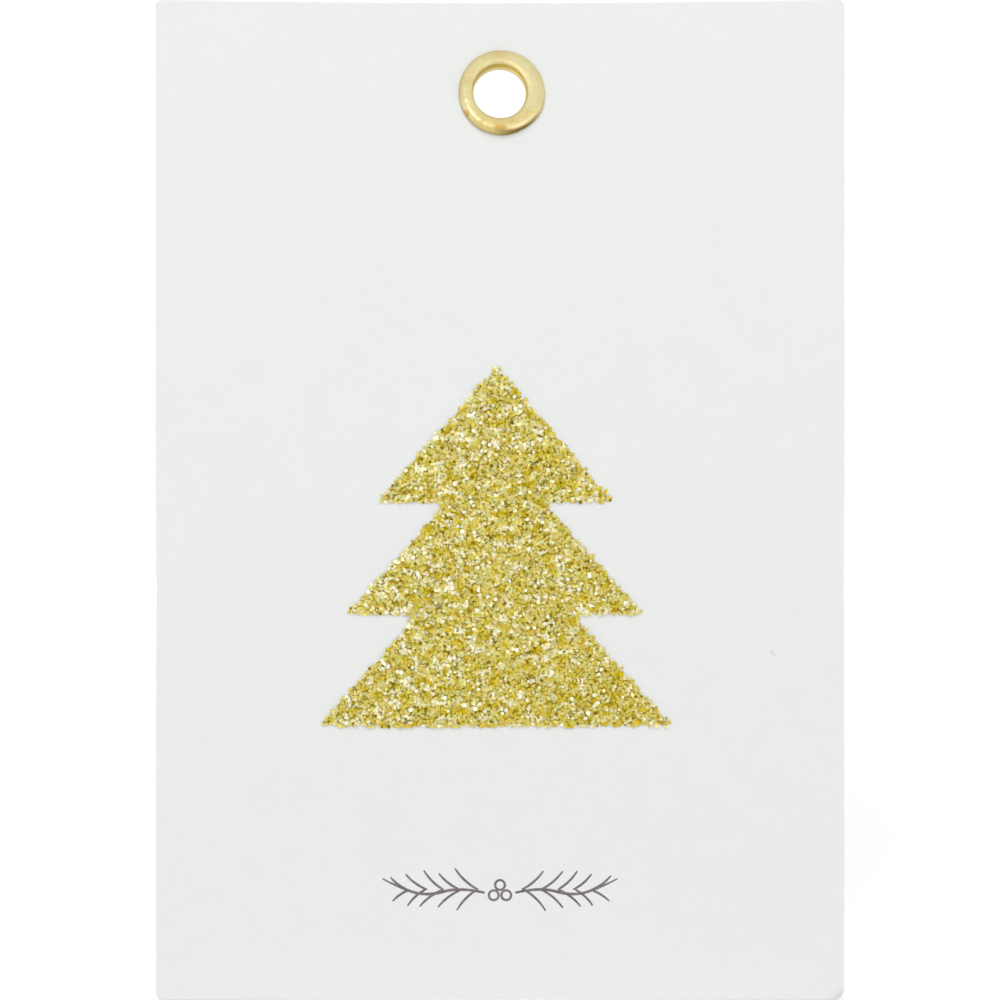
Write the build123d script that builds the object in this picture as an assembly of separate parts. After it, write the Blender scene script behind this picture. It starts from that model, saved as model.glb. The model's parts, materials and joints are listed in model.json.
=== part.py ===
from build123d import *
import os

# Gift tag: a die-cut card, a brass eyelet set in its punched hole, and a tree of glitter glued to its face.
# The tag stands upright, with its printed face towards -Y and its top edge towards +Z. The origin lies on
# the eyelet's axis, in the middle of the card's thickness. All sizes are in millimetres.

# Card
CARD_WIDTH = 55.0
CARD_HEIGHT = 80.0
CARD_THICKNESS = 0.5
CORNER_RADIUS = 0.6
EYELET_DROP = 7.45  # from the card's top edge to the eyelet's axis

# Eyelet, pressed from one piece of brass sheet
BRASS_THICKNESS = 0.2
BORE_DIAMETER = 4.2
FLANGE_DIAMETER = 6.9
FLANGE_HEIGHT = 0.6
FLANGE_BEND = 0.35  # inside radius of the bend at the flange's outer edge
LIP_BEND = 0.3  # inside radius of the bend between flange and barrel
ROLL_DIAMETER = 6.2
ROLL_HEIGHT = 0.8
ROLL_BEND = 0.22  # inside radius of the two bends of the rolled-over back edge
BARREL_CLEARANCE = 0.05  # radial, from the barrel to the punched hole
SEAT_CLEARANCE = 0.03  # from the card to the edges of the flange and the roll

# Glitter tree, three tiers from the top down
TREE_DROP = 29.2  # from the card's top edge to the tree's tip
TREE_SHIFT = -0.4  # sideways from the card's centre line
TOP_TIER_HEIGHT = 10.85
TOP_TIER_BASE = 18.8
MIDDLE_TIER_HEIGHT = 9.0
MIDDLE_TIER_NECK = 7.6
MIDDLE_TIER_BASE = 23.8
BOTTOM_TIER_HEIGHT = 8.95
BOTTOM_TIER_NECK = 12.3
BOTTOM_TIER_BASE = 28.2
GLUE_THICKNESS = 0.05
GLITTER_THICKNESS = 0.2

FRONT_FACE = CARD_THICKNESS / 2  # distance of the printed face from the origin, towards -Y
BACK_FACE = CARD_THICKNESS / 2  # distance of the back from the origin, towards +Y
BORE_RADIUS = BORE_DIAMETER / 2
BARREL_RADIUS = BORE_RADIUS + BRASS_THICKNESS


def slab(outline, near, far):
    """A solid from an outline in the front view, between two distances in front of the origin."""
    return extrude(Plane.XZ.offset(near) * outline, far - near)


def make_card():
    blank = Pos(0, EYELET_DROP - CARD_HEIGHT / 2) * RectangleRounded(CARD_WIDTH, CARD_HEIGHT, CORNER_RADIUS)
    punched_hole = Circle(BARREL_RADIUS + BARREL_CLEARANCE)
    return slab(blank - punched_hole, -BACK_FACE, FRONT_FACE)


def bend_radius(inside_radius, *rooms):
    """Radius on the visible side of a bend in the sheet, limited by the room that its walls give it."""
    return min(inside_radius + BRASS_THICKNESS, *(0.95 * room for room in rooms))


def make_eyelet():
    """The visible side of the sheet in half section runs from the flange's edge through the bore to the roll."""
    flange_radius = FLANGE_DIAMETER / 2
    roll_radius = ROLL_DIAMETER / 2
    flange_foot = -FRONT_FACE - SEAT_CLEARANCE
    flange_top = flange_foot - FLANGE_HEIGHT
    roll_foot = BACK_FACE + SEAT_CLEARANCE
    roll_top = roll_foot + ROLL_HEIGHT
    half_flange = (flange_radius - BORE_RADIUS) / 2
    half_roll = (roll_radius - BORE_RADIUS) / 2
    corners = [
        (flange_radius, flange_foot),
        (flange_radius, flange_top),
        (BORE_RADIUS, flange_top),
        (BORE_RADIUS, roll_top),
        (roll_radius, roll_top),
        (roll_radius, roll_foot),
    ]
    bends = [
        bend_radius(FLANGE_BEND, half_flange, FLANGE_HEIGHT),
        bend_radius(LIP_BEND, half_flange),
        bend_radius(ROLL_BEND, half_roll),
        bend_radius(ROLL_BEND, half_roll, ROLL_HEIGHT),
    ]
    visible_side = FilletPolyline(*corners, radius=bends)
    section = make_face(offset(visible_side, BRASS_THICKNESS, side=Side.RIGHT))
    return revolve(section, Axis.Y)


def tree_outline():
    """Half of the outline runs down the right edge of the tiers, and its mirror image closes it."""
    tiers = [
        (TOP_TIER_HEIGHT, 0, TOP_TIER_BASE),
        (MIDDLE_TIER_HEIGHT, MIDDLE_TIER_NECK, MIDDLE_TIER_BASE),
        (BOTTOM_TIER_HEIGHT, BOTTOM_TIER_NECK, BOTTOM_TIER_BASE),
    ]
    level = EYELET_DROP - TREE_DROP
    right_edge = []
    for height, neck, base in tiers:
        right_edge.append((neck / 2, level))
        level -= height
        right_edge.append((base / 2, level))
    left_edge = [(-x, z) for x, z in reversed(right_edge[1:])]
    return Pos(TREE_SHIFT, 0) * make_face(Polyline(*right_edge, *left_edge, close=True))


def make_tree_glue():
    return slab(tree_outline(), FRONT_FACE, FRONT_FACE + GLUE_THICKNESS)


def make_glitter_coat():
    glue_top = FRONT_FACE + GLUE_THICKNESS
    return slab(tree_outline(), glue_top, glue_top + GLITTER_THICKNESS)


nodes = {
    "card": make_card(),
    "eyelet": make_eyelet(),
    "tree_glue": make_tree_glue(),
    "glitter_coat": make_glitter_coat(),
}

os.makedirs("parts", exist_ok=True)
for name, solid in nodes.items():
    export_step(solid, f"parts/{name}.step")
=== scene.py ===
import json
from collections import namedtuple
from math import atan2, copysign, cos, exp, hypot, pi, radians, remainder, sin, tau
from random import Random

import bmesh
import bpy
from mathutils import Matrix, Vector, noise


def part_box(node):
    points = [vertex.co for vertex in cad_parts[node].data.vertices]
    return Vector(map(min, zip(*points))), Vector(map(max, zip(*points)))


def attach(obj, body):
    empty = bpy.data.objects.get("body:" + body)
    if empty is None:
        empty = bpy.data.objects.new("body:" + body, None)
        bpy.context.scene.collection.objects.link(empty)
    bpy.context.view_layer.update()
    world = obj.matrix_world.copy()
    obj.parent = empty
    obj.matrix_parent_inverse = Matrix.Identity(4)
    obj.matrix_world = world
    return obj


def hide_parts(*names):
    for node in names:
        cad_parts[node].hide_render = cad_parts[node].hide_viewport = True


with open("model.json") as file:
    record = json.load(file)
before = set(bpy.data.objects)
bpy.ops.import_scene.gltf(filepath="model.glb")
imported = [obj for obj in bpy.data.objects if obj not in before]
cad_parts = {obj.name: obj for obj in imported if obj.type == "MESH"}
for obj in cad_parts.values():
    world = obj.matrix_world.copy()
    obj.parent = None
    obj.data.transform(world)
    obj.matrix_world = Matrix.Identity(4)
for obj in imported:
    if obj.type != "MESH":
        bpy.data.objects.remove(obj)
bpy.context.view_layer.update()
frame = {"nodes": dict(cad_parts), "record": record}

# The tag's own places, read from the frame. The printed face looks towards -Y.
MM = 0.001
CARD_LOW, CARD_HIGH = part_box("card")
CARD_CENTRE = (CARD_LOW + CARD_HIGH) / 2
PRINTED_FACE = CARD_LOW.y
CARD_THICKNESS = CARD_HIGH.y - CARD_LOW.y
EYELET_LOW, EYELET_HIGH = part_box("eyelet")
FLANGE_RADIUS = EYELET_HIGH.x
GLUE_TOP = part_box("tree_glue")[0].y
COAT_LOW, COAT_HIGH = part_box("glitter_coat")
TREE_CENTRE_X = (COAT_LOW.x + COAT_HIGH.x) / 2
BORE_RADIUS = frame["record"]["mounts"][0]["dims"]["r_mm"] * MM

WELD_DISTANCE = 1e-7
NOISE_SEED = 7  # start of the vector noise, which is a different one in each run if it isn't set

# Card
HOLE_RADIUS = BORE_RADIUS + 0.25 * MM
HOLE_STEPS = 72
CORNER_STEPS = 8
EDGE_ROUNDING = 0.045 * MM
EDGE_STEPS = 3
SHARP_ANGLE = 1.0  # radians, at the edges that are rounded
CUT_SPACING = 2.5 * MM
TIP_CUTS = 10
FLAT_FACE = 0.99  # how squarely a face looks forward or back to be shaded flat
EDGE_FACE = 0.5  # how little a face looks forward or back to show the cut edge
TOP_EDGE_DIP = 0.2 * MM
BOTTOM_CORNER_RISE = 0.1 * MM
EDGE_ZONE = 4 * MM
CARD_BOW = 0.22 * MM
CARD_COCKLE = 0.05 * MM
COCKLE_SCALE = 45
FLAT_ROUND_EYELET = 5 * MM
BOW_REACH = 8 * MM
# Side of the card in X and Z, rounding, how far the worn tip is bent back, length of the bent tip
Corner = namedtuple("Corner", "side_x side_z rounding bend length")
CORNERS = (
    Corner(-1, 1, 0.45 * MM, 0.01 * MM, 0.3 * MM),
    Corner(1, 1, 0.5 * MM, 0.02 * MM, 0.4 * MM),
    Corner(-1, -1, 0.55 * MM, 0.16 * MM, 0.8 * MM),
    Corner(1, -1, 0.75 * MM, 0.28 * MM, 1.1 * MM),
)

# Card stock: name, colours of its pale and its shaded fibres, strength of its tooth
FACE_STOCK = ("white_card", (0.912, 0.927, 0.918), (0.812, 0.827, 0.818), 0.25)
EDGE_STOCK = ("cut_edge", (0.9, 0.905, 0.89), (0.76, 0.765, 0.75), 0.6)
STOCK_ROUGHNESS = 0.88
STOCK_GLOSS = 0.1
CLOUD_SCALE = 260
CLOUD_SHARE = 0.2
GRAIN_SCALE = 5200
GRAIN_SHARE = 0.55
STOCK_TONE = 0.125
TOOTH_SCALE = 7000
TOOTH_DEPTH = 0.02 * MM
# Grey of the corners, stronger towards their bent tips
TIP_GREY = (0.62, 0.62, 0.63)
TIP_GREY_ZONE = (1.3, 0.4)  # in lengths of the bent tip
FULLY_GREY_BEND = 0.5 * MM
FLECK = (0.3, 0.3, 0.32)
FLECK_STRENGTH = 0.32
FRONT_HALF = (0.02 * MM, -0.02 * MM)  # in Y
# A round mark: place in X and Z, radius
Mark = namedtuple("Mark", "x z radius")
MARK_CORE = 0.3  # share of the radius where a mark has its full strength
FLECKS = (
    Mark(21.7 * MM, -44.58 * MM, 0.12 * MM),
    Mark(21.75 * MM, -44.72 * MM, 0.11 * MM),
    Mark(21.87 * MM, -44.83 * MM, 0.1 * MM),
    Mark(22.04 * MM, -44.88 * MM, 0.08 * MM),
    Mark(22.48 * MM, -44.84 * MM, 0.07 * MM),
    Mark(21.6 * MM, -39.1 * MM, 0.07 * MM),
    Mark(20.15 * MM, -2.25 * MM, 0.07 * MM),
)

# Eyelet
BRASS_THICKNESS = 0.2 * MM
SEAT_CLEARANCE = 0.03 * MM
FLANGE_FOOT = PRINTED_FACE - SEAT_CLEARANCE
ROLL_FOOT = CARD_HIGH.y + SEAT_CLEARANCE
ROLL_RADIUS = 3.1 * MM
ROLL_FLARE = 0.06 * MM
SHOULDER_POWER = 2.05
LIP_POWER = 2.9
CREST_SHARE = 0.42
SECTION_STEPS = 24
EYELET_STEPS = 120
JUST_BEHIND = 1e-4  # share of the way from the flange's foot to the back, where the barrel begins
SETTING_DENT = 0.035 * MM
DENT_SCALE = 380
# The flange is slightly oval: direction of its long axis, how far it stands out there
OVAL = (radians(152), 0.05 * MM)
# Flat spots on the flange's rim: direction round the axis, depth, half the angle it takes up
FLAT_SPOTS = (
    (radians(300), 0.13 * MM, radians(26)),
    (radians(252), 0.04 * MM, radians(16)),
)
# Places where the lip is squeezed towards the axis: direction, depth, half the angle it takes up
LIP_SQUEEZES = (
    (radians(248), 0.07 * MM, radians(36)),
    (radians(42), 0.1 * MM, radians(26)),
)
# How far each part of the eyelet was set off the axis
RIM_SHIFT = Vector((0.15, 0, 0.03)) * MM
LIP_SHIFT = Vector((0.02, 0, 0.12)) * MM
BARREL_SHIFT = Vector((-0.034, 0, 0)) * MM

# Brass: colours and their strengths
BRASS_STOPS = ((0.28, (0.68, 0.52, 0.21)), (0.48, (0.77, 0.675, 0.35)), (0.75, (0.81, 0.725, 0.41)))
LOWER_BRASS = (0.71, 0.535, 0.2)
LOWER_STRENGTH = 0.7
# Painted shade inside the barrel's mouth, lighter on its right than on its left
BARREL_RIGHT = (0.66, 0.51, 0.135)
BARREL_LEFT = (0.53, 0.4, 0.11)
BARREL_GLOSS = (0.62, 0.52, 0.27)
SHOULDER_BRASS = (0.55, 0.45, 0.2)
SHOULDER_STRENGTH = 0.2
# Painted shade on the flange's outer rim where it meets the card, on its left and below
RIM_SHADE = (0.5, 0.33, 0.08)
RIM_SHADE_STRENGTH = 0.7
STAIN = (0.52, 0.31, 0.06)
STAIN_STRENGTH = 0.65
# Painted highlight along the shoulder, and painted dark reflection in the crease under it
PAINTED_HIGHLIGHT = (0.97, 0.88, 0.56)
DARK_REFLECTION = (0.17, 0.1, 0.02)
DARK_REFLECTION_STRENGTH = 0.88
STAINS = (
    Mark(-0.25 * MM, -2.8 * MM, 0.28 * MM),
    Mark(0.06 * MM, -2.82 * MM, 0.38 * MM),
    Mark(0.36 * MM, -2.84 * MM, 0.26 * MM),
    Mark(-2.7 * MM, -1.7 * MM, 0.45 * MM),
)
# Brass: where each colour begins and where it has its full strength, in X, Y, Z or distance from the axis
LEFT_SIDE = (1.5 * MM, -2.5 * MM)
LOWER_SIDE = (-0.8 * MM, -3.0 * MM)
UPPER_SIDE = (-0.2 * MM, 0.9 * MM)
MOUTH_CENTRE = LIP_SHIFT * 0.6 + BARREL_SHIFT
MOUTH_WALL = (BORE_RADIUS + 0.15 * MM, BORE_RADIUS + 0.07 * MM)
MOUTH_FRONT = (0.12 * MM, -0.04 * MM)
MOUTH_BACK = (0.05 * MM, 0.3 * MM)
SHOULDER = (2.85 * MM, 3.2 * MM)
RIM = (FLANGE_RADIUS - 0.3 * MM, FLANGE_RADIUS)
LIP = (2.8 * MM, 2.4 * MM)
IN_FRONT_OF_CARD = (0, PRINTED_FACE)
CLEAR_OF_FOOT = (PRINTED_FACE, PRINTED_FACE - 0.25 * MM)
# Band of painted dark reflection in a crease under the shoulder: direction where it begins, width there,
# narrowing in each radian
CREASE_START = radians(-84)
CREASE_WIDTH = 0.43 * MM
CREASE_TAPER = 0.42 * MM
CREASE_LINE = FLANGE_RADIUS - CREASE_WIDTH
CREASE_EDGE = (CREASE_LINE - 0.04 * MM, CREASE_LINE + 0.08 * MM)
CREASE_BEGINS = (-0.5, 0.4)  # in radians from its start, as the next three are
CREASE_ENDS = (1.1, 0.5)
# Painted highlight line over the painted dark reflection
HIGHLIGHT_BEGINS = (0.05, 0.35)
HIGHLIGHT_ENDS = (1.1, 0.5)
HIGHLIGHT_LINE = CREASE_LINE - 0.16 * MM
HIGHLIGHT_WIDTH = (0.13 * MM, 0.03 * MM)
# Brass: streaks of the turning tool, pits and polish
POLISH_PATCH_SCALE = 420
STREAKS_ROUND = 1.5
STREAKS_ACROSS = 9000
STREAK_ROUGHNESS = 0.16
BRASS_ROUGHNESS = 0.2
LIP_ROUGHNESS = 0.14
PIT_SCALE = 2200
STREAK_DEPTH = 0.12
PIT_DEPTH = 0.045 * MM

# Glitter
FLAKE_SIDES = 6
FLAKE_RADIUS = 0.14 * MM
FLAKE_THICKNESS = 0.012 * MM
FLAKE_SPACING = 0.17 * MM
FLAKE_SIZES = (0.8, 1.2)
FLAKE_TIP = 9  # degrees, of the flakes lowest in the coat
FLAKE_TIP_RISE = 12  # degrees, added up to the top of the coat
FLAKE_TIP_LIMIT = radians(45)
COAT_ROOM = 0.06 * MM  # left above the highest flakes for their tipped corners
EDGE_SCATTER = 0.085 * MM
EDGE_WANDER = 0.22 * MM
NOTCH_FILL = 0.65 * MM
TIP_FILL = 0.25 * MM
END_LOSS = 0.25 * MM
SETTLING = 0.08 * MM
TIP_LEAN = 0.16 * MM
GLITTER_SEED = 2412
# Tone of the flakes, from 0 for dull to 1 for bright
FLAKE_TONE = 0.618
TONE_SPREAD = 0.055
PATCH_SCALE = 1500
PATCH_STRETCH = (0.75, 1.1)
PATCH_TONE = 0.38
DRIFT_SCALE = 130
DRIFT_TONE = 0.055
RIGHT_SIDE_LOSS = 0.03
# Near-white flakes on top of the coat are painted glints; dark flakes are painted shade between the grains
PAINTED_GLINT_SHARE = 0.036
PAINTED_GLINT_TONE = 0.92
PAINTED_GLINT_SIZE = 1.15
PAINTED_SHADE_SHARE = 0.03
# Gold of a flake at some tones, for lemon and for amber film
LEMON_STOPS = (
    (0.0, (0.25, 0.185, 0.003)),
    (0.35, (0.585, 0.515, 0.022)),
    (0.7, (0.68, 0.685, 0.265)),
    (1.0, (0.96, 0.95, 0.82)),
)
AMBER_STOPS = (
    (0.0, (0.29, 0.175, 0.001)),
    (0.35, (0.7, 0.47, 0.004)),
    (0.7, (0.78, 0.62, 0.18)),
    (1.0, (0.98, 0.94, 0.74)),
)
CRINKLE_SCALE = 3300
CRINKLE = 0.72
WARMTH_SCALE = 2900
WARM_PATCHES = 2.2
FLAKE_WARMTH = 0.5
FILM_WARMTH = -0.85
FILM_ROUGHNESS = 0.57
BRIGHT_FILM_POLISH = -0.3

# Glue under the glitter
GLUE_INSET = 0.13 * MM
GLUE_ROUNDING = 0.25 * MM
GLUE_CORNER_STEPS = 3
GLUE_CUTS = 12
GLUE_STOPS = ((0.3, (0.42, 0.3, 0.01)), (0.7, (0.58, 0.45, 0.03)))
GLUE_ROUGHNESS = 0.5
GLUE_GLOSS = 0.05
LUMP_SCALE = 5000
LUMP_STRENGTH = 0.5
LUMP_DEPTH = 0.04 * MM

# Sprig drawn in ink under the tree
SPRIG_DROP = 71.4 * MM
SPRIG_MIDDLE = Vector((CARD_CENTRE.x, CARD_HIGH.z - SPRIG_DROP))
SPRIG_HALF_WIDTH = 9.4 * MM
SPRIG_SEED = 7
INK_STOPS = ((0.3, (0.15, 0.127, 0.135)), (0.75, (0.29, 0.25, 0.265)))
INK_SCALE = 3000
INK_ROUGHNESS = 0.8
INK_GLOSS = 0.25
INK_RADIUS = 0.12 * MM
INK_RELIEF = 0.008 * MM
# Points of a stem along and above the sprig's middle line, in half widths, and the nib's width at each
STEM = ((0.13, 0.0), (0.34, 0.05), (0.62, -0.03), (0.85, 0.04), (1.0, 0.12))
STEM_NIB = (0.8, 1.0, 1.0, 0.9, 0.5)
NEEDLE_PAIRS = 5
NEEDLE_START = 0.2  # in half widths, as the next two are
NEEDLE_STEP = 0.145
NEEDLE_STRAY = 0.015
NEEDLE_LENGTH = 2.5 * MM
NEEDLE_SHORTENING = 0.18 * MM
NEEDLE_LENGTHS = (0.9, 1.1)
NEEDLE_LEAN = 44  # degrees, as the next two are
NEEDLE_LEAN_LOSS = 2
NEEDLE_SWAY = 5
NEEDLE_BEND = (0.62, 0.36)  # shares of the needle's width and height at the middle of its curve
NEEDLE_RISE = 0.25 * MM
NEEDLE_NIB = (0.7, 1.05, 0.55)
BERRY_RADIUS = 0.42 * MM
BERRY_PLACES = ((0, 0.62 * MM), (-0.5 * MM, -0.2 * MM), (0.5 * MM, -0.2 * MM))
BERRY_STEPS = 8
BERRY_NIB = 0.8

# Studio: strengths of light and glow, and sizes in metres
AMBIENT = 0.5
FLOOR_REACH = 4
FLOOR_COLOUR = (0.92, 0.92, 0.92)
FLOOR_ROUGHNESS = 0.9
FLOOR_GLOW = 0.29
FAR_GLOW = 0.38
FAR_GLOW_ZONE = (0.15, 0.6)
WHITE = (1, 1, 1)
# Name, place, width, height, radiance, and whether it only shows in metal or only lights dull surfaces
SOFTBOXES = (
    ("top_softbox", (-0.03, -0.55, 0.52), 0.45, 0.35, 3.8, False),
    ("front_softbox", (0.02, -0.75, 0.02), 0.3, 0.3, 3.8, False),
    ("back_softbox", (-0.15, 0.6, 0.12), 0.3, 0.25, 5.0, False),
    ("key_glint", (-0.097, -0.23, -0.01), 0.05, 0.04, 4.4, True),
)

# Camera
CAMERA_DISTANCE = 112 * MM
FRAME_HEIGHT = 80.06 * MM
FRAME_RISE = 0.04 * MM
SENSOR = 36.0
NEAREST_SEEN = 1 * MM


class Wiring:
    """Adds nodes to a node tree. Each method takes numbers, colours or other nodes' outputs."""

    def __init__(self, tree):
        self.nodes = tree.nodes
        self.links = tree.links

    def put(self, value, socket):
        if isinstance(value, bpy.types.NodeSocket):
            self.links.new(value, socket)
        elif socket.type == "RGBA":
            socket.default_value = (*value, 1.0)
        else:
            socket.default_value = value

    def add(self, kind, operation, values):
        node = self.nodes.new(kind)
        node.operation = operation
        for value, socket in zip(values, node.inputs):
            self.put(value, socket)
        return node

    def calculate(self, operation, *values):
        return self.add("ShaderNodeMath", operation, values).outputs["Value"]

    def total(self, first, *others):
        for other in others:
            first = self.calculate("ADD", first, other)
        return first

    def product(self, first, *others):
        for other in others:
            first = self.calculate("MULTIPLY", first, other)
        return first

    def place(self):
        return self.nodes.new("ShaderNodeTexCoord").outputs["Object"]

    def split(self, place):
        parts = self.nodes.new("ShaderNodeSeparateXYZ")
        self.put(place, parts.inputs["Vector"])
        return parts.outputs

    def flat(self, place):
        """The place in the card's plane, whatever its depth."""
        return self.add("ShaderNodeVectorMath", "MULTIPLY", (place, (1, 0, 1))).outputs["Vector"]

    def length(self, place):
        return self.add("ShaderNodeVectorMath", "LENGTH", (place,)).outputs["Value"]

    def distance(self, place, centre):
        return self.add("ShaderNodeVectorMath", "DISTANCE", (place, centre)).outputs["Value"]

    def attribute(self, name):
        attribute = self.nodes.new("ShaderNodeAttribute")
        attribute.attribute_name = name
        return attribute.outputs["Fac"]

    def noise(self, place, scale, detail, roughness=0.5):
        texture = self.nodes.new("ShaderNodeTexNoise")
        self.put(place, texture.inputs["Vector"])
        self.put(scale, texture.inputs["Scale"])
        self.put(detail, texture.inputs["Detail"])
        self.put(roughness, texture.inputs["Roughness"])
        return texture.outputs["Fac"]

    def ramp(self, factor, *stops):
        ramp = self.nodes.new("ShaderNodeValToRGB")
        elements = ramp.color_ramp.elements
        while len(elements) < len(stops):
            elements.new(1.0)
        for element, (position, colour) in zip(elements, stops):
            element.position = position
            element.color = (*colour, 1.0)
        self.put(factor, ramp.inputs["Fac"])
        return ramp.outputs["Color"]

    def step(self, value, start, end):
        """0 up to start and 1 from end on, with a soft passage between them. Either may be the larger one."""
        step = self.nodes.new("ShaderNodeMapRange")
        step.interpolation_type = "SMOOTHSTEP"
        self.put(start, step.inputs["From Min"])
        self.put(end, step.inputs["From Max"])
        self.put(value, step.inputs["Value"])
        return step.outputs["Result"]

    def mix(self, share, first, second):
        """The first colour, and the second one where share is 1."""
        node = self.nodes.new("ShaderNodeMix")
        node.data_type = "RGBA"
        values = {"Factor_Float": share, "A_Color": first, "B_Color": second}
        for socket in node.inputs:
            if socket.identifier in values:
                self.put(values[socket.identifier], socket)
        return next(socket for socket in node.outputs if socket.identifier == "Result_Color")

    def background_ray(self):
        """1 for rays that should meet a white studio: the camera's, mirrored ones and those through glass."""
        path = self.nodes.new("ShaderNodeLightPath").outputs
        seen = self.calculate("MAXIMUM", path["Is Camera Ray"], path["Is Glossy Ray"])
        return self.calculate("MAXIMUM", seen, path["Is Transmission Ray"])


class Finish(Wiring):
    """A new material: its wiring and its surface."""

    def __init__(self, name):
        self.material = bpy.data.materials.new(name)
        self.material.use_nodes = True
        super().__init__(self.material.node_tree)
        self.shader = self.nodes["Principled BSDF"]

    def surface(self, name, value):
        self.put(value, self.shader.inputs[name])

    def bump(self, height, strength, depth):
        bump = self.nodes.new("ShaderNodeBump")
        self.put(height, bump.inputs["Height"])
        self.put(strength, bump.inputs["Strength"])
        self.put(depth, bump.inputs["Distance"])
        self.surface("Normal", bump.outputs["Normal"])


def limited(value):
    return min(max(value, 0.0), 1.0)


def across_card(x):
    """-1 at the card's left edge, 1 at its right edge."""
    return (x - CARD_CENTRE.x) / (CARD_HIGH.x - CARD_CENTRE.x)


def bow(x, z):
    """How far the card stands back from its flat shape: a slight bow and cockle, flat round the eyelet."""
    free = limited((hypot(x, z) - FLAT_ROUND_EYELET) / BOW_REACH)
    across = across_card(x)
    wave = noise.noise(Vector((x, 0, z)) * COCKLE_SCALE)
    return free * (CARD_COCKLE * wave - CARD_BOW * across * across)


def piece_from(name, bm, *materials):
    mesh = bpy.data.meshes.new(name)
    bm.to_mesh(mesh)
    bm.free()
    for material in materials:
        mesh.materials.append(material)
    piece = bpy.data.objects.new(name, mesh)
    bpy.context.scene.collection.objects.link(piece)
    return piece


def place_on(piece, body, slot, *nodes):
    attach(piece, body)
    if nodes:
        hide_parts(*nodes)


def round_off(bm, geom, affect, radius, steps):
    bmesh.ops.bevel(bm, geom=geom, offset=radius, affect=affect, segments=steps, profile=0.5, material=-1)


def cut_across(bm, place, normal):
    everything = bm.verts[:] + bm.edges[:] + bm.faces[:]
    bmesh.ops.bisect_plane(bm, geom=everything, dist=WELD_DISTANCE, plane_co=place, plane_no=normal)


def thicken(bm, thickness):
    """Gives a sheet in the card's plane its thickness, towards the front."""
    raised = bmesh.ops.extrude_face_region(bm, geom=bm.faces[:], use_keep_orig=True)["geom"]
    front = [element for element in raised if isinstance(element, bmesh.types.BMVert)]
    bmesh.ops.translate(bm, verts=front, vec=(0, -thickness, 0))


def card_stock(name, pale, shade, tooth):
    """Uncoated white card: fine grain, faint clouds, a few dark flecks, corners greyer towards their bent
    tips, and a fine tooth.
    """
    stock = Finish(name)
    place = stock.place()
    clouds = stock.product(stock.noise(place, CLOUD_SCALE, detail=4), CLOUD_SHARE)
    grain = stock.product(stock.noise(place, GRAIN_SCALE, detail=2), GRAIN_SHARE)
    tone = stock.total(clouds, grain, STOCK_TONE)
    colour = stock.ramp(tone, (0.0, shade), (1.0, pale))
    flat = stock.flat(place)
    printed = stock.product(stock.step(stock.split(place)["Y"], *FRONT_HALF), FLECK_STRENGTH)
    for mark in FLECKS:
        reach = stock.distance(flat, (mark.x, 0, mark.z))
        fleck = stock.product(stock.step(reach, mark.radius, MARK_CORE * mark.radius), printed)
        colour = stock.mix(fleck, colour, FLECK)
    # The corners turn greyer towards their bent tips, more so where a tip is bent further
    for corner in CORNERS:
        reach = stock.distance(place, corner_point(corner))
        greyed = stock.step(reach, *(share * corner.length for share in TIP_GREY_ZONE))
        greyed = stock.product(greyed, corner.bend / FULLY_GREY_BEND)
        colour = stock.mix(greyed, colour, TIP_GREY)
    stock.surface("Base Color", colour)
    stock.surface("Roughness", STOCK_ROUGHNESS)
    stock.surface("Specular IOR Level", STOCK_GLOSS)
    stock.bump(stock.noise(place, TOOTH_SCALE, detail=3, roughness=0.6), tooth, TOOTH_DEPTH)
    return stock.material


# A point of the eyelet, the same without depth, its X, Y and Z, its distance from the axis, its direction
EyeletPlace = namedtuple("EyeletPlace", "point flat x y z across around")


def eyelet_place(brass):
    point = brass.place()
    x, y, z = brass.split(point)
    flat = brass.flat(point)
    return EyeletPlace(point, flat, x, y, z, brass.length(flat), brass.calculate("ARCTAN2", z, x))


def colour_mouth(brass, place, left, colour):
    """Painted shade inside the barrel's mouth just behind the lip, where it shows above and on the right,
    darker on the left; the barrel's back is less glossy.
    """
    wall = brass.step(brass.distance(place.flat, MOUTH_CENTRE), *MOUTH_WALL)
    right = brass.calculate("SUBTRACT", 1, left)
    seen = brass.calculate("MAXIMUM", brass.step(place.z, *UPPER_SIDE), right)
    # painted shade inside the mouth
    mouth_shade = brass.product(wall, brass.step(place.y, *MOUTH_FRONT), seen)
    deep = brass.product(wall, brass.step(place.y, *MOUTH_BACK))
    brass.surface("Specular Tint", brass.mix(deep, WHITE, BARREL_GLOSS))
    return brass.mix(mouth_shade, colour, brass.mix(left, BARREL_RIGHT, BARREL_LEFT))


def colour_flange(brass, place, left, low, colour):
    """The shoulder is a little darker, the rim has brown painted shade on its left and below, and there are a
    few warm stains.
    """
    shoulder = brass.product(brass.step(place.across, *SHOULDER), SHOULDER_STRENGTH)
    colour = brass.mix(shoulder, colour, SHOULDER_BRASS)
    # painted shade on the rim, on its left and lower sides
    shaded_sides = brass.calculate("MAXIMUM", low, left)
    rim = brass.product(brass.step(place.across, *RIM), shaded_sides, RIM_SHADE_STRENGTH)
    colour = brass.mix(rim, colour, RIM_SHADE)
    for mark in STAINS:
        reach = brass.distance(place.flat, (mark.x, 0, mark.z))
        stain = brass.product(brass.step(reach, mark.radius, MARK_CORE * mark.radius), STAIN_STRENGTH)
        colour = brass.mix(stain, colour, STAIN)
    return colour


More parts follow.
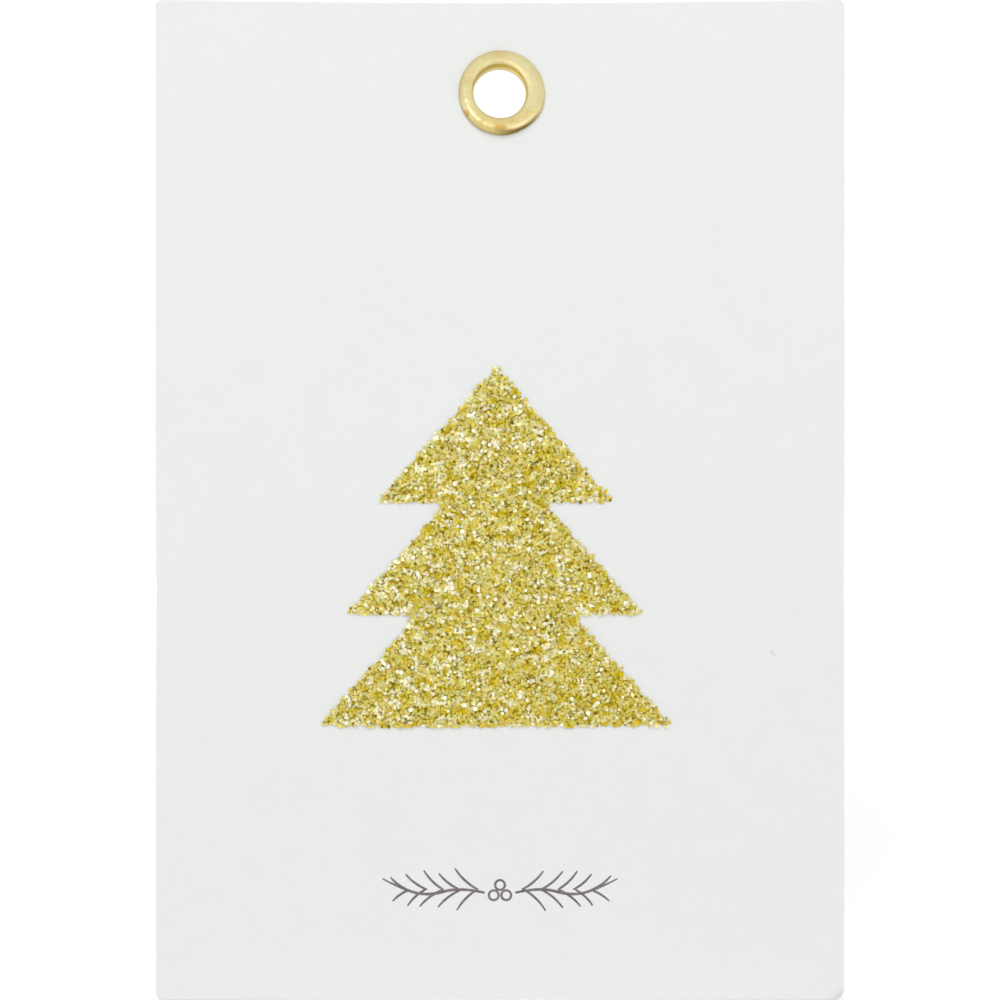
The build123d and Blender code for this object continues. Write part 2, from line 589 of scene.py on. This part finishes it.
def paint_dark_reflection_and_highlight(brass, place, colour):
    """Painted dark reflection in a crease under the shoulder, narrowing to the right, and a painted highlight
    line over it.
    """
    turn = brass.calculate("SUBTRACT", place.around, CREASE_START)
    outward = brass.calculate("SUBTRACT", place.across, brass.product(turn, CREASE_TAPER))
    from_line = brass.calculate("ABSOLUTE", brass.calculate("SUBTRACT", outward, HIGHLIGHT_LINE))
    # painted highlight line
    highlight_line = brass.product(
        brass.step(from_line, *HIGHLIGHT_WIDTH),
        brass.step(turn, *HIGHLIGHT_BEGINS),
        brass.step(turn, *HIGHLIGHT_ENDS),
        brass.step(place.y, *IN_FRONT_OF_CARD),
    )
    colour = brass.mix(highlight_line, colour, PAINTED_HIGHLIGHT)
    # painted dark reflection in the crease
    dark_reflection = brass.product(
        brass.step(outward, *CREASE_EDGE),
        brass.step(turn, *CREASE_BEGINS),
        brass.step(turn, *CREASE_ENDS),
        brass.step(place.y, *CLEAR_OF_FOOT),
        DARK_REFLECTION_STRENGTH,
    )
    return brass.mix(dark_reflection, colour, DARK_REFLECTION)


def polish_brass(brass, place):
    """Streaks of the turning tool round the axis, fine pits, and a duller lip."""
    streaks = brass.nodes.new("ShaderNodeCombineXYZ")
    brass.put(brass.product(place.around, STREAKS_ROUND), streaks.inputs["X"])
    brass.put(brass.product(place.across, STREAKS_ACROSS), streaks.inputs["Y"])
    turned = brass.noise(streaks.outputs["Vector"], scale=1.0, detail=3, roughness=0.6)
    lip = brass.product(brass.step(place.across, *LIP), LIP_ROUGHNESS)
    brass.surface("Roughness", brass.total(brass.product(turned, STREAK_ROUGHNESS), BRASS_ROUGHNESS, lip))
    pits = brass.noise(place.point, PIT_SCALE, detail=2)
    brass.bump(brass.total(brass.product(turned, STREAK_DEPTH), pits), strength=1.0, depth=PIT_DEPTH)


def satin_brass():
    """Pressed brass sheet: uneven polish, warm tarnish in patches, a darker lower side, warm stains, marks of
    its making, and painted shade, a painted dark reflection and a painted highlight.
    """
    brass = Finish("satin_brass")
    place = eyelet_place(brass)
    patches = brass.noise(place.point, POLISH_PATCH_SCALE, detail=5, roughness=0.72)
    colour = brass.ramp(patches, *BRASS_STOPS)
    left = brass.step(place.x, *LEFT_SIDE)
    low = brass.product(brass.step(place.z, *LOWER_SIDE), LOWER_STRENGTH)
    colour = brass.mix(low, colour, LOWER_BRASS)
    colour = colour_mouth(brass, place, left, colour)
    colour = colour_flange(brass, place, left, low, colour)
    brass.surface("Base Color", paint_dark_reflection_and_highlight(brass, place, colour))
    brass.surface("Metallic", 1.0)
    polish_brass(brass, place)
    return brass.material


def gold_flake():
    """Metallised film: each flake has its own depth and warmth of gold."""
    film = Finish("gold_flake")
    place = film.place()
    crinkle = film.product(film.noise(place, CRINKLE_SCALE, detail=1), CRINKLE)
    depth = film.total(film.attribute("tone"), crinkle, -CRINKLE / 2)
    warm_patches = film.product(film.noise(place, WARMTH_SCALE, detail=1), WARM_PATCHES)
    own_warmth = film.product(film.attribute("warmth"), FLAKE_WARMTH)
    warmth = film.total(warm_patches, own_warmth, FILM_WARMTH)
    lemon = film.ramp(depth, *LEMON_STOPS)
    amber = film.ramp(depth, *AMBER_STOPS)
    film.surface("Base Color", film.mix(warmth, lemon, amber))
    film.surface("Metallic", 1.0)
    film.surface("Roughness", film.total(film.product(depth, BRIGHT_FILM_POLISH), FILM_ROUGHNESS))
    return film.material


def gold_glue():
    """Tinted adhesive under the flakes."""
    glue = Finish("gold_glue")
    lumps = glue.noise(glue.place(), LUMP_SCALE, detail=2)
    glue.surface("Base Color", glue.ramp(lumps, *GLUE_STOPS))
    glue.surface("Roughness", GLUE_ROUGHNESS)
    glue.surface("Specular IOR Level", GLUE_GLOSS)
    glue.bump(lumps, LUMP_STRENGTH, LUMP_DEPTH)
    return glue.material


def drawn_ink():
    """Grey-brown ink that has soaked unevenly into the card."""
    ink = Finish("drawn_ink")
    ink.surface("Base Color", ink.ramp(ink.noise(ink.place(), INK_SCALE, detail=3), *INK_STOPS))
    ink.surface("Roughness", INK_ROUGHNESS)
    ink.surface("Specular IOR Level", INK_GLOSS)
    return ink.material


def corner_point(corner):
    """The sharp corner of the blank's back, before it is rounded."""
    x = CARD_HIGH.x if corner.side_x > 0 else CARD_LOW.x
    z = CARD_HIGH.z if corner.side_z > 0 else CARD_LOW.z
    return Vector((x, CARD_HIGH.y, z))


def from_corner(corner):
    """Direction from a corner towards the middle of the card, at 45 degrees to its edges."""
    return Vector((-corner.side_x, 0, -corner.side_z)).normalized()


def cut_blank(bm):
    """The back of the card, with its rounded corners and its punched hole."""
    going_round = (CORNERS[0], CORNERS[1], CORNERS[3], CORNERS[2])
    bm.faces.new([bm.verts.new(corner_point(corner)) for corner in going_round])
    for corner in CORNERS:
        tip = min(bm.verts, key=lambda vertex: (vertex.co - corner_point(corner)).length)
        round_off(bm, [tip], "VERTICES", corner.rounding, CORNER_STEPS)
    bmesh.ops.delete(bm, geom=bm.faces[:], context="FACES_ONLY")
    upright = Matrix.Translation((0, CARD_HIGH.y, 0)) @ Matrix.Rotation(pi / 2, 4, "X")
    bmesh.ops.create_circle(bm, segments=HOLE_STEPS, radius=HOLE_RADIUS, matrix=upright)
    bmesh.ops.triangle_fill(bm, edges=bm.edges[:], use_beauty=True, normal=(0, 1, 0))


def cut_for_bending(bm):
    """Cuts across the card, and closer ones across its corners, let it take up its bow and its bent tips."""
    columns = round((CARD_HIGH.x - CARD_LOW.x) / CUT_SPACING)
    rows = round((CARD_HIGH.z - CARD_LOW.z) / CUT_SPACING)
    for step in range(1, columns):
        cut_across(bm, CARD_LOW.lerp(CARD_HIGH, step / columns), (1, 0, 0))
    for step in range(1, rows):
        cut_across(bm, CARD_LOW.lerp(CARD_HIGH, step / rows), (0, 0, 1))
    for corner in CORNERS:
        inward = from_corner(corner)
        for step in range(2, TIP_CUTS + 1):
            cut_across(bm, corner_point(corner) + inward * corner.length * step / TIP_CUTS, inward)


def make_card():
    """The blank is cut, punched, given its thickness, and then worn at its corners and bowed a little."""
    bm = bmesh.new()
    cut_blank(bm)
    thicken(bm, CARD_THICKNESS)
    bmesh.ops.recalc_face_normals(bm, faces=bm.faces[:])
    rim = [edge for edge in bm.edges if edge.calc_face_angle(0) > SHARP_ANGLE]
    round_off(bm, rim, "EDGES", EDGE_ROUNDING, EDGE_STEPS)
    cut_for_bending(bm)
    for face in bm.faces:
        face.smooth = abs(face.normal.y) < FLAT_FACE
        face.material_index = 1 if abs(face.normal.y) < EDGE_FACE else 0
    for vertex in bm.verts:
        wear_card(vertex)
    return bm


def wear_card(vertex):
    """Moves one point of the card: bow, dipped top edge, raised bottom corners and bent corner tips."""
    flat_place = Vector((vertex.co.x, CARD_HIGH.y, vertex.co.z))
    across = across_card(flat_place.x)
    near_top = limited(1 - (CARD_HIGH.z - flat_place.z) / EDGE_ZONE)
    near_bottom = limited(1 - (flat_place.z - CARD_LOW.z) / EDGE_ZONE)
    vertex.co.y += bow(flat_place.x, flat_place.z)
    vertex.co.z -= TOP_EDGE_DIP * near_top * (1 - across * across)
    vertex.co.z += BOTTOM_CORNER_RISE * near_bottom * across * across
    for corner in CORNERS:
        depth = (flat_place - corner_point(corner)).dot(from_corner(corner))
        if depth < corner.length:
            vertex.co.y += corner.bend * (1 - depth / corner.length) ** 2


def dome(inner, outer, foot, height, lip_power):
    """A rounded arch in section, from its outer foot over its crest, nearer the bore, to its inner foot."""
    crest = inner + CREST_SHARE * (outer - inner)
    points = []
    for step in range(SECTION_STEPS + 1):
        angle = pi * step / SECTION_STEPS
        outside = cos(angle) > 0
        power = SHOULDER_POWER if outside else lip_power
        reach = outer - crest if outside else inner - crest
        along = abs(cos(angle)) ** (2 / power)
        up = abs(sin(angle)) ** (2 / power)
        points.append((crest + reach * along, foot + height * up))
    return points


def eyelet_section():
    """The sheet's section, flange to roll on the visible side and back inside."""
    arches = []
    for inner, outer, foot, top, lip_power in (
        (BORE_RADIUS, FLANGE_RADIUS, FLANGE_FOOT, EYELET_LOW.y, LIP_POWER),
        (BORE_RADIUS + ROLL_FLARE, ROLL_RADIUS, ROLL_FOOT, EYELET_HIGH.y, SHOULDER_POWER),
    ):
        height = top - foot
        hollow = height - copysign(BRASS_THICKNESS, height)
        arches.append(dome(inner, outer, foot, height, lip_power))
        arches.append(dome(BORE_RADIUS + BRASS_THICKNESS, outer - BRASS_THICKNESS, foot, hollow, lip_power))
    flange, inside_flange, roll, inside_roll = arches
    return flange + roll[::-1] + inside_roll + inside_flange[::-1]


def make_eyelet():
    """The section is spun round the bore, and then knocked a little out of true, as by the setting tool."""
    bm = bmesh.new()
    verts = [bm.verts.new((radius, y, 0)) for radius, y in eyelet_section()]
    edges = [bm.edges.new(pair) for pair in zip(verts, verts[1:] + verts[:1])]
    bmesh.ops.spin(
        bm, geom=verts + edges, axis=(0, 1, 0), cent=(0, 0, 0), angle=tau, steps=EYELET_STEPS, use_merge=True
    )
    bmesh.ops.remove_doubles(bm, verts=bm.verts[:], dist=WELD_DISTANCE)
    bmesh.ops.recalc_face_normals(bm, faces=bm.faces[:])
    for vertex in bm.verts:
        behind = (vertex.co.y - FLANGE_FOOT) / (EYELET_HIGH.y - FLANGE_FOOT)
        if behind > JUST_BEHIND:
            vertex.co += BARREL_SHIFT * (1 + behind)
        else:
            dent_flange(vertex)
    for face in bm.faces:
        face.smooth = True
    return bm


def dent_flange(vertex):
    """Marks of the setting tool: the flange is a little out of round and uneven on its top."""
    radius = hypot(vertex.co.x, vertex.co.z)
    raised = (FLANGE_FOOT - vertex.co.y) / (FLANGE_FOOT - EYELET_LOW.y)
    outward = (radius - BORE_RADIUS) / (FLANGE_RADIUS - BORE_RADIUS)
    direction = atan2(vertex.co.z, vertex.co.x)
    long_axis, bulge = OVAL
    pressed_in = -bulge * cos(2 * (direction - long_axis)) * outward
    for spot, depth, half_angle in FLAT_SPOTS:
        gap = remainder(direction - spot, tau) / half_angle
        pressed_in += depth * exp(-gap * gap) * outward
    for spot, depth, half_angle in LIP_SQUEEZES:
        gap = remainder(direction - spot, tau) / half_angle
        pressed_in += depth * exp(-gap * gap) * (1 - outward) * raised
    dent = noise.noise_vector(vertex.co * DENT_SCALE) * SETTING_DENT * raised
    vertex.co -= Vector((vertex.co.x, 0, vertex.co.z)) * pressed_in / radius
    vertex.co += Vector((dent.x, abs(dent.y), dent.z))
    vertex.co += RIM_SHIFT * outward + LIP_SHIFT.lerp(BARREL_SHIFT, 1 - raised) * (1 - outward)


# One tier of the tree: its upper and lower level, and half its width at each
Tier = namedtuple("Tier", "top bottom narrow wide")


def tree_tiers():
    """The tiers from the top down, read from the frame to the nearest micrometre."""
    half_widths = {}
    for vertex in frame["nodes"]["glitter_coat"].data.vertices:
        level = round(vertex.co.z, 6)
        half_widths.setdefault(level, set()).add(round(abs(vertex.co.x - TREE_CENTRE_X), 6))
    levels = sorted(half_widths, reverse=True)
    return [
        Tier(top, bottom, min(half_widths[top]), max(half_widths[bottom]))
        for top, bottom in zip(levels, levels[1:])
    ]


def make_glue():
    """A thin print of adhesive just inside the tree's outline, with slightly rounded points."""
    right_edge = []
    for tier in tree_tiers():
        right_edge += [(tier.narrow, tier.top), (tier.wide, tier.bottom)]
    left_edge = [(-x, z) for x, z in reversed(right_edge[1:])]
    bm = bmesh.new()
    corners = [bm.verts.new((TREE_CENTRE_X + x, PRINTED_FACE, z)) for x, z in right_edge + left_edge]
    corners[0].co.x += TIP_LEAN
    outline = bm.faces.new(corners)
    bm.normal_update()
    rim = bmesh.ops.inset_region(
        bm, faces=[outline], use_boundary=True, use_even_offset=True, thickness=GLUE_INSET
    )
    bmesh.ops.delete(bm, geom=rim["faces"], context="FACES")
    round_off(bm, bm.verts[:], "VERTICES", GLUE_ROUNDING, GLUE_CORNER_STEPS)
    thicken(bm, PRINTED_FACE - GLUE_TOP)
    bmesh.ops.triangulate(bm, faces=bm.faces[:])
    for step in range(1, GLUE_CUTS):
        cut_across(bm, COAT_LOW.lerp(COAT_HIGH, step / GLUE_CUTS), (1, 0, 0))
        cut_across(bm, COAT_LOW.lerp(COAT_HIGH, step / GLUE_CUTS), (0, 0, 1))
    bmesh.ops.recalc_face_normals(bm, faces=bm.faces[:])
    for vertex in bm.verts:
        vertex.co.y += bow(vertex.co.x, vertex.co.z)
    return bm


def flake_plate():
    """One six-sided flake, lying in the card's plane."""
    bm = bmesh.new()
    upright = Matrix.Rotation(pi / 2, 4, "X")
    bmesh.ops.create_circle(bm, cap_ends=True, segments=FLAKE_SIDES, radius=FLAKE_RADIUS, matrix=upright)
    thicken(bm, FLAKE_THICKNESS)
    bmesh.ops.recalc_face_normals(bm, faces=bm.faces[:])
    plate = bpy.data.meshes.new("flake_plate")
    bm.to_mesh(plate)
    bm.free()
    plate.attributes.new("tone", "FLOAT", "FACE")
    plate.attributes.new("warmth", "FLOAT", "FACE")
    return plate


def flake_pose(draw, x, z, lift, size):
    """Where one flake lies: at a share of the coat's height, spun, and tipped a little to one side."""
    depth = GLUE_TOP + lift * (COAT_LOW.y + COAT_ROOM - GLUE_TOP)
    lean = Vector((draw.gauss(0, 1), 0, draw.gauss(0, 1)))
    tip = min(radians(FLAKE_TIP + FLAKE_TIP_RISE * lift) * lean.length, FLAKE_TIP_LIMIT)
    axis = Vector((lean.z, 0, -lean.x)) if lean.length else Vector((1, 0, 0))
    return (
        Matrix.Translation((x, depth + bow(x, z), z))
        @ Matrix.Rotation(tip, 4, axis)
        @ Matrix.Rotation(draw.uniform(0, tau), 4, "Y")
        @ Matrix.Scale(size * draw.uniform(*FLAKE_SIZES), 4)
    )


def tier_half_width(tier, level):
    """Half the tier's width at a level. Glitter fills the notch above it and is rubbed off its sharp ends."""
    filled = NOTCH_FILL if tier.narrow else TIP_FILL
    depth = max(tier.top - level, filled)
    width = tier.narrow + (tier.wide - tier.narrow) * depth / (tier.top - tier.bottom)
    return min(width, tier.wide - END_LOSS)


def flake_places(draw, tier):
    """Places of one tier's flakes, in uneven rows that stray a little over its edges. The top tier leans."""
    rows = round((tier.top - tier.bottom) / FLAKE_SPACING)
    for row in range(rows):
        level = tier.top + (tier.bottom - tier.top) * (row + 0.5) / rows
        half_width = tier_half_width(tier, level)
        middle = TREE_CENTRE_X
        if not tier.narrow:
            middle += TIP_LEAN * (level - tier.bottom) / (tier.top - tier.bottom)
        count = max(round(2 * half_width / FLAKE_SPACING), 1)
        for column in range(count):
            x = middle + half_width * (2 * (column + 0.5) / count - 1)
            wander = noise.noise_vector(Vector((x, 0, level)) * PATCH_SCALE) * EDGE_WANDER
            x += wander.x + draw.gauss(0, EDGE_SCATTER)
            z = max(level + wander.z + draw.gauss(0, EDGE_SCATTER), tier.bottom) - SETTLING
            yield x, z


def flake_tone(draw, x, z):
    """How bright one flake is: flakes lie in bright and dull patches, and the tree's left is brighter."""
    stretch_x, stretch_z = PATCH_STRETCH
    patch = noise.noise(Vector((stretch_x * x, 0, stretch_z * z)) * PATCH_SCALE)
    drift = noise.noise(Vector((x, 0, z)) * DRIFT_SCALE)
    to_right = (x - TREE_CENTRE_X) / (COAT_HIGH.x - TREE_CENTRE_X)
    tone = draw.gauss(FLAKE_TONE, TONE_SPREAD)
    return limited(tone + PATCH_TONE * patch + DRIFT_TONE * drift - RIGHT_SIDE_LOSS * to_right)


def scatter_flakes(draw, tier):
    """Covers one tier with flakes, among them a few near-white ones on top as painted glints and a few dark
    ones as painted shade between the grains.
    """
    plate = flake_plate()
    faces = len(plate.polygons)
    bm = bmesh.new()
    for x, z in flake_places(draw, tier):
        tone = flake_tone(draw, x, z)
        warmth = draw.random()
        lift = draw.random()
        size = 1.0
        kind = draw.random()
        # painted glint: a near-white flake on top of the coat
        if kind < PAINTED_GLINT_SHARE:
            tone = PAINTED_GLINT_TONE
            lift = 1.0
            size = PAINTED_GLINT_SIZE
        # painted shade: a dark flake
        elif kind > 1 - PAINTED_SHADE_SHARE:
            tone = 0.0
        flake = plate.copy()
        flake.transform(flake_pose(draw, x, z, lift, size))
        flake.attributes["tone"].data.foreach_set("value", [tone] * faces)
        flake.attributes["warmth"].data.foreach_set("value", [warmth] * faces)
        bm.from_mesh(flake)
        bpy.data.meshes.remove(flake)
    bpy.data.meshes.remove(plate)
    return bm


def draw_stroke(curve, points, nib, closed=False):
    """One pen stroke along points given from the sprig's middle, with the nib's width at each of them."""
    spline = curve.splines.new("NURBS")
    spline.points.add(len(points) - 1)
    for point, (x, z), width in zip(spline.points, points, nib):
        point.co = (SPRIG_MIDDLE.x + x, 0, SPRIG_MIDDLE.y + z, 1)
        point.radius = width
    spline.order_u = 3
    spline.use_endpoint_u = not closed
    spline.use_cyclic_u = closed


def draw_needle(curve, draw, side, up, pair):
    """One needle, curved away from its stem. Needles further out are shorter and lie closer to the stem."""
    along = NEEDLE_START + NEEDLE_STEP * pair
    root = side * SPRIG_HALF_WIDTH * (along + draw.uniform(-NEEDLE_STRAY, NEEDLE_STRAY))
    length = (NEEDLE_LENGTH - NEEDLE_SHORTENING * pair) * draw.uniform(*NEEDLE_LENGTHS)
    lean = radians(NEEDLE_LEAN - NEEDLE_LEAN_LOSS * pair + draw.uniform(-NEEDLE_SWAY, NEEDLE_SWAY))
    points = []
    for share_out, share_up in ((0, 0), NEEDLE_BEND, (1, 1)):
        x = root + side * length * share_out * cos(lean)
        z = up * length * share_up * sin(lean) + NEEDLE_RISE
        points.append((x, z))
    draw_stroke(curve, points, NEEDLE_NIB)


def make_sprig(draw):
    """A sprig of needles, drawn in pen strokes that point away from three berries in its middle."""
    curve = bpy.data.curves.new("sprig_strokes", "CURVE")
    curve.dimensions = "3D"
    curve.bevel_depth = INK_RADIUS
    curve.bevel_resolution = 2
    curve.resolution_u = 6
    curve.use_fill_caps = True
    for side in (-1, 1):
        stem = [(side * SPRIG_HALF_WIDTH * along, SPRIG_HALF_WIDTH * up) for along, up in STEM]
        draw_stroke(curve, stem, STEM_NIB)
        for pair in range(NEEDLE_PAIRS):
            for up in (-1, 1):
                draw_needle(curve, draw, side, up, pair)
    turns = [tau * step / BERRY_STEPS for step in range(BERRY_STEPS)]
    for x, z in BERRY_PLACES:
        ring = [(x + BERRY_RADIUS * cos(turn), z + BERRY_RADIUS * sin(turn)) for turn in turns]
        draw_stroke(curve, ring, [BERRY_NIB] * BERRY_STEPS, closed=True)
    return press_ink(curve)


def press_ink(curve):
    """The strokes as a mesh, pressed almost flat onto the card's face."""
    holder = bpy.data.objects.new("sprig_strokes", curve)
    bpy.context.scene.collection.objects.link(holder)
    bpy.context.view_layer.update()
    strokes = bpy.data.meshes.new_from_object(holder.evaluated_get(bpy.context.evaluated_depsgraph_get()))
    bpy.data.objects.remove(holder)
    bm = bmesh.new()
    bm.from_mesh(strokes)
    bmesh.ops.scale(bm, vec=(1, INK_RELIEF / INK_RADIUS, 1), verts=bm.verts[:])
    bmesh.ops.recalc_face_normals(bm, faces=bm.faces[:])
    for vertex in bm.verts:
        vertex.co.y += PRINTED_FACE + bow(vertex.co.x, vertex.co.z)
    return bm


def dress_tag():
    noise.seed_set(NOISE_SEED)
    card = piece_from("die_cut_card", make_card(), card_stock(*FACE_STOCK), card_stock(*EDGE_STOCK))
    place_on(card, "card", "card", "card")
    eyelet = piece_from("brass_eyelet", make_eyelet(), satin_brass())
    place_on(eyelet, "eyelet", "brass", "eyelet")
    glue = piece_from("glue_print", make_glue(), gold_glue())
    place_on(glue, "card", "glue", "tree_glue")
    flakes = gold_flake()
    draw = Random(GLITTER_SEED)
    for number, tier in enumerate(tree_tiers(), 1):
        coat = piece_from(f"glitter_tier_{number}", scatter_flakes(draw, tier), flakes)
        place_on(coat, "card", "glitter", "glitter_coat")
    sprig = piece_from("ink_sprig", make_sprig(Random(SPRIG_SEED)), drawn_ink())
    place_on(sprig, "card", "card")


def set_world():
    """Soft white light from all sides, and plain white where the camera or a mirror sees past the tag."""
    world = bpy.data.worlds.new("white_studio")
    bpy.context.scene.world = world
    world.use_nodes = True
    studio = Wiring(world.node_tree)
    studio.nodes.clear()
    choice = studio.nodes.new("ShaderNodeMixShader")
    studio.put(studio.background_ray(), choice.inputs["Fac"])
    for strength, socket in zip((AMBIENT, 1.0), choice.inputs[1:]):
        background = studio.nodes.new("ShaderNodeBackground")
        studio.put(WHITE, background.inputs["Color"])
        studio.put(strength, background.inputs["Strength"])
        studio.put(background.outputs["Background"], socket)
    output = studio.nodes.new("ShaderNodeOutputWorld")
    studio.put(choice.outputs["Shader"], output.inputs["Surface"])


def white_floor():
    """White that glows a little to the camera, more so further away, and still takes a shadow."""
    white = Finish("white_floor")
    far = white.step(white.length(white.place()), *FAR_GLOW_ZONE)
    glow = white.total(white.product(far, FAR_GLOW), FLOOR_GLOW)
    white.surface("Base Color", FLOOR_COLOUR)
    white.surface("Roughness", FLOOR_ROUGHNESS)
    white.surface("Specular IOR Level", 0.0)
    white.surface("Emission Color", WHITE)
    white.surface("Emission Strength", white.product(white.background_ray(), glow))
    return white.material


def make_floor():
    """A floor under the tag's lower edge."""
    bm = bmesh.new()
    bmesh.ops.create_grid(bm, x_segments=1, y_segments=1, size=FLOOR_REACH)
    bmesh.ops.translate(bm, verts=bm.verts[:], vec=(0, 0, CARD_LOW.z))
    piece_from("floor", bm, white_floor())


def add_softbox(name, place, width, height, radiance, in_metal):
    """A rectangular soft light that faces the middle of the card."""
    light = bpy.data.lights.new(name, "AREA")
    light.shape = "RECTANGLE"
    light.size = width
    light.size_y = height
    light.energy = radiance * pi * width * height
    softbox = bpy.data.objects.new(name, light)
    softbox.location = place
    softbox.rotation_euler = (CARD_CENTRE - Vector(place)).to_track_quat("-Z", "Y").to_euler()
    softbox.visible_camera = False
    softbox.visible_diffuse = not in_metal
    softbox.visible_glossy = in_metal
    bpy.context.scene.collection.objects.link(softbox)


def set_camera():
    camera = bpy.data.cameras.new("front_view")
    camera.sensor_width = SENSOR
    camera.lens = SENSOR * CAMERA_DISTANCE / FRAME_HEIGHT
    camera.clip_start = NEAREST_SEEN
    holder = bpy.data.objects.new("front_view", camera)
    holder.location = (CARD_CENTRE.x, PRINTED_FACE - CAMERA_DISTANCE, CARD_CENTRE.z + FRAME_RISE)
    holder.rotation_euler = (pi / 2, 0, 0)
    bpy.context.scene.collection.objects.link(holder)
    bpy.context.scene.camera = holder


def light_studio():
    set_world()
    make_floor()
    for softbox in SOFTBOXES:
        add_softbox(*softbox)


dress_tag()
light_studio()
set_camera()
bpy.context.scene.view_settings.view_transform = "Standard"
